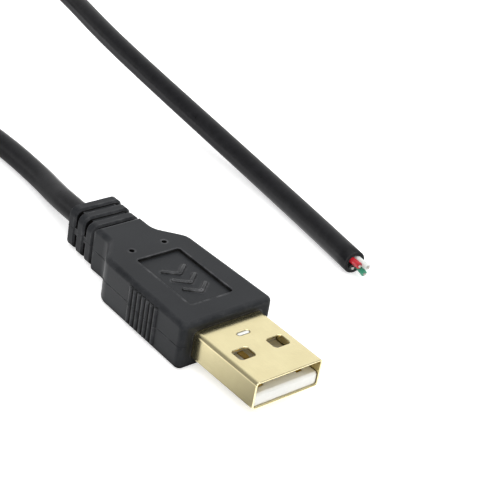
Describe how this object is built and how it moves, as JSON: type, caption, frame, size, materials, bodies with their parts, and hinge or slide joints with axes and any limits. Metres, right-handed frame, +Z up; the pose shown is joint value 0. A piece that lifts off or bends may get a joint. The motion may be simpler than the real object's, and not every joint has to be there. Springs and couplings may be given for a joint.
{
  "type": "usb cable",
  "caption": "Computer cable with a flat rectangular type A plug on one end, a ribbed strain relief, a long round cord and bare cut conductors at the other end.",
  "frame": {"origin": "on the ground plane under the middle of the plug, from nose to cord exit", "axes": "-Y towards the plug's nose, +Y the way the cord leaves, +X across the plug, +Z up through its marked face"},
  "size_m": [0.0562, 0.1958, 0.0106],
  "materials": {
    "gold_shell": "gold-plated, polished",
    "white_insulator": "satin",
    "contact_metal": "gold-plated",
    "solder": "bright",
    "red_insulation": "satin",
    "white_insulation": "satin",
    "green_insulation": "satin",
    "black_insulation": "satin",
    "tinned_copper": "tinned strands",
    "jacket": "satin",
    "inner_moulding": "dull",
    "overmoulding": "fine matt grain",
    "strap": "matt"
  },
  "bodies": {
    "root": {"plug_shell": "gold_shell", "plug_insulator": "white_insulator", "contact_red": "contact_metal", "contact_white": "contact_metal", "contact_green": "contact_metal", "contact_black": "contact_metal", "solder_red": "solder", "solder_white": "solder", "solder_green": "solder", "solder_black": "solder", "wire_red_insulation": "red_insulation", "wire_red_core": "tinned_copper", "end_red_insulation": "red_insulation", "end_red_core": "tinned_copper", "wire_white_insulation": "white_insulation", "wire_white_core": "tinned_copper", "end_white_insulation": "white_insulation", "end_white_core": "tinned_copper", "wire_green_insulation": "green_insulation", "wire_green_core": "tinned_copper", "end_green_insulation": "green_insulation", "end_green_core": "tinned_copper", "wire_black_insulation": "black_insulation", "wire_black_core": "tinned_copper", "end_black_insulation": "black_insulation", "end_black_core": "tinned_copper", "plug_jacket_end": "jacket", "inner_mould": "inner_moulding", "overmould": "overmoulding", "cord_lead": "jacket", "cord_coil": "jacket", "cord_tail": "jacket", "coil_tie": "strap"}
  },
  "joints": []
}
